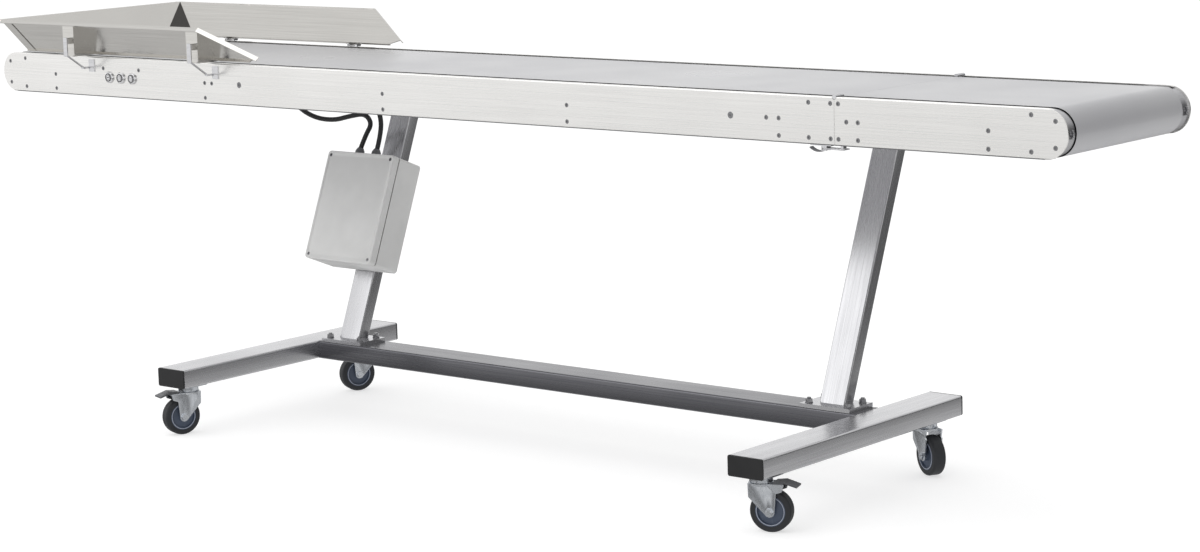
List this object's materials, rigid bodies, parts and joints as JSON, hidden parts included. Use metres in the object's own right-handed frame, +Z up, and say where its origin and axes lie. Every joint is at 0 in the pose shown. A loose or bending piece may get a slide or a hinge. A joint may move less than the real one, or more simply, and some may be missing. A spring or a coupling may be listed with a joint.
{
  "type": "belt conveyor section",
  "caption": "Mobile stainless belt conveyor section: slim belt bed on a leaning cantilever stand with castors, fold-up tail, hinged infeed hopper, control box and push buttons.",
  "frame": {"origin": "bottom centre of the whole machine's box, on the floor", "axes": "+X along the conveyor from the drive drum to the fold-up tail, +Y from the button side to the support side, +Z up"},
  "size_m": [2.809, 0.7316, 0.883],
  "materials": {
    "tube_steel": "lengthwise brushed stainless tube",
    "black_cap": "moulded black",
    "fastener": "bright stainless",
    "plate_steel": "fine brushed stainless sheet",
    "bar_steel": "turned stainless",
    "wear_plastic": "extruded black",
    "block_steel": "machined stainless",
    "drum_steel": "turned stainless",
    "belt": "satin smooth belt",
    "hinge_steel": "polished stainless",
    "hopper_sheet": "folded brushed stainless sheet",
    "box_grey": "moulded light grey",
    "seal_rubber": "foamed dark",
    "cable_sheath": "extruded black",
    "gland_grey": "moulded grey",
    "button_ring": "polished ring",
    "button_cap": "satin cap",
    "castor_zinc": "bright zinc plated",
    "hub_plastic": "moulded blue grey",
    "castor_tyre": "dark elastic rubber"
  },
  "bodies": {
    "frame": {"cross_tube_left": "tube_steel", "cross_tube_right": "tube_steel", "tube_end_caps": "black_cap", "long_tube": "tube_steel", "foot_bolts": "fastener", "side_plate_front": "plate_steel", "side_plate_rear": "plate_steel", "post_left": "tube_steel", "post_right": "tube_steel", "cross_members": "bar_steel", "slider_bed": "bar_steel", "edge_strips": "wear_plastic", "plate_screws": "fastener", "drive_end_blocks": "block_steel", "drive_shaft": "bar_steel", "belt_main": "belt", "tail_hinge_fixed": "hinge_steel", "latch_keepers": "hinge_steel", "control_box_base": "box_grey", "control_box_lid": "box_grey", "control_box_seal": "seal_rubber", "motor_cable": "cable_sheath", "panel_cable": "cable_sheath", "cable_glands": "gland_grey", "button_housing": "button_ring", "castor_heads": "castor_zinc"},
    "drive_drum": {"drive_drum": "drum_steel"},
    "snub_drive": {"snub_roller_drive": "bar_steel"},
    "tail_section": {"tail_plate_front": "plate_steel", "tail_plate_rear": "plate_steel", "tail_bed": "bar_steel", "tail_strips": "wear_plastic", "tail_screws": "fastener", "tail_end_blocks": "block_steel", "tail_shaft": "bar_steel", "belt_tail": "belt", "tail_hinge_moving": "hinge_steel"},
    "tail_drum": {"tail_drum": "drum_steel"},
    "snub_tail": {"snub_roller_tail": "bar_steel"},
    "tail_latch": {"tail_latch_lever": "hinge_steel"},
    "hopper": {"hopper": "hopper_sheet"},
    "hopper_latch_left": {"hopper_latch_left": "hinge_steel"},
    "hopper_latch_right": {"hopper_latch_right": "hinge_steel"},
    "button_stop": {"button_stop": "button_cap"},
    "button_one": {"button_one": "button_cap"},
    "button_two": {"button_two": "button_cap"},
    "castor_front_left": {"castor_fork_front_left": "castor_zinc"},
    "wheel_front_left": {"castor_hub_front_left": "hub_plastic", "castor_tyre_front_left": "castor_tyre"},
    "pedal_front_left": {"brake_pedal_front_left": "castor_zinc"},
    "castor_front_right": {"castor_fork_front_right": "castor_zinc"},
    "wheel_front_right": {"castor_hub_front_right": "hub_plastic", "castor_tyre_front_right": "castor_tyre"},
    "pedal_front_right": {"brake_pedal_front_right": "castor_zinc"},
    "castor_rear_left": {"castor_fork_rear_left": "castor_zinc"},
    "wheel_rear_left": {"castor_hub_rear_left": "hub_plastic", "castor_tyre_rear_left": "castor_tyre"},
    "castor_rear_right": {"castor_fork_rear_right": "castor_zinc"},
    "wheel_rear_right": {"castor_hub_rear_right": "hub_plastic", "castor_tyre_rear_right": "castor_tyre"}
  },
  "joints": [
    {"name": "drive_spin", "type": "hinge", "parent": "frame", "child": "drive_drum", "pos_m": [-1.3605, -0.0076, 0.758], "axis": [0, 1, 0], "continuous": true},
    {"name": "snub_drive_spin", "type": "hinge", "parent": "frame", "child": "snub_drive", "pos_m": [-1.2225, -0.0076, 0.726], "axis": [0, 1, 0], "continuous": true},
    {"name": "tail_fold", "type": "hinge", "parent": "frame", "child": "tail_section", "pos_m": [0.9215, -0.0076, 0.802], "axis": [0, -1, 0], "range_deg": [0, 90]},
    {"name": "tail_spin", "type": "hinge", "parent": "tail_section", "child": "tail_drum", "pos_m": [1.3605, -0.0076, 0.758], "axis": [0, 1, 0], "continuous": true},
    {"name": "snub_tail_spin", "type": "hinge", "parent": "tail_section", "child": "snub_tail", "pos_m": [1.2455, -0.0076, 0.726], "axis": [0, 1, 0], "continuous": true},
    {"name": "tail_latch_swing", "type": "hinge", "parent": "frame", "child": "tail_latch", "pos_m": [0.8955, -0.2106, 0.707], "axis": [0, -1, 0], "range_deg": [0, 90]},
    {"name": "hopper_tilt", "type": "hinge", "parent": "frame", "child": "hopper", "pos_m": [-0.904, 0.2154, 0.806], "axis": [-1, 0, 0], "range_deg": [0, 65]},
    {"name": "hopper_latch_left_swing", "type": "hinge", "parent": "hopper", "child": "hopper_latch_left", "pos_m": [-1.0965, -0.2881, 0.842], "axis": [-1, 0, 0], "range_deg": [0, 100]},
    {"name": "hopper_latch_right_swing", "type": "hinge", "parent": "hopper", "child": "hopper_latch_right", "pos_m": [-0.6955, -0.2881, 0.842], "axis": [-1, 0, 0], "range_deg": [0, 100]},
    {"name": "button_stop_press", "type": "slide", "parent": "frame", "child": "button_stop", "axis": [0, 1, 0], "range_m": [0, 0.0025], "stiffness_N_per_m": 600},
    {"name": "button_one_press", "type": "slide", "parent": "frame", "child": "button_one", "axis": [0, 1, 0], "range_m": [0, 0.0025], "stiffness_N_per_m": 600},
    {"name": "button_two_press", "type": "slide", "parent": "frame", "child": "button_two", "axis": [0, 1, 0], "range_m": [0, 0.0025], "stiffness_N_per_m": 600},
    {"name": "swivel_front_left", "type": "hinge", "parent": "frame", "child": "castor_front_left", "pos_m": [-0.7545, -0.2926, 0.095], "axis": [0, 0, 1], "continuous": true},
    {"name": "wheel_front_left_spin", "type": "hinge", "parent": "castor_front_left", "child": "wheel_front_left", "pos_m": [-0.76101, -0.31151, 0.04], "axis": [0.9455, -0.3256, 0], "continuous": true},
    {"name": "brake_front_left_press", "type": "hinge", "parent": "castor_front_left", "child": "pedal_front_left", "pos_m": [-0.76687, -0.32853, 0.0867], "axis": [0.9455, -0.3256, 0], "range_deg": [0, 12]},
    {"name": "swivel_front_right", "type": "hinge", "parent": "frame", "child": "castor_front_right", "pos_m": [0.7955, -0.2926, 0.095], "axis": [0, 0, 1], "continuous": true},
    {"name": "wheel_front_right_spin", "type": "hinge", "parent": "castor_front_right", "child": "wheel_front_right", "pos_m": [0.81429, -0.28576, 0.04], "axis": [-0.342, 0.9397, 0], "continuous": true},
    {"name": "brake_front_right_press", "type": "hinge", "parent": "castor_front_right", "child": "pedal_front_right", "pos_m": [0.83121, -0.2796, 0.0867], "axis": [-0.342, 0.9397, 0], "range_deg": [0, 12]},
    {"name": "swivel_rear_left", "type": "hinge", "parent": "frame", "child": "castor_rear_left", "pos_m": [-0.7545, 0.2544, 0.095], "axis": [0, 0, 1], "continuous": true},
    {"name": "wheel_rear_left_spin", "type": "hinge", "parent": "castor_rear_left", "child": "wheel_rear_left", "pos_m": [-0.76295, 0.23627, 0.04], "axis": [0.9063, -0.4226, 0], "continuous": true},
    {"name": "swivel_rear_right", "type": "hinge", "parent": "frame", "child": "castor_rear_right", "pos_m": [0.7955, 0.2544, 0.095], "axis": [0, 0, 1], "continuous": true},
    {"name": "wheel_rear_right_spin", "type": "hinge", "parent": "castor_rear_right", "child": "wheel_rear_right", "pos_m": [0.81316, 0.24501, 0.04], "axis": [0.4695, 0.8829, 0], "continuous": true}
  ],
  "couplings": [
    {"joint": "tail_spin", "follows": "drive_spin", "ratio": 1},
    {"joint": "snub_drive_spin", "follows": "drive_spin", "ratio": -3.525},
    {"joint": "snub_tail_spin", "follows": "drive_spin", "ratio": -3.525}
  ]
}
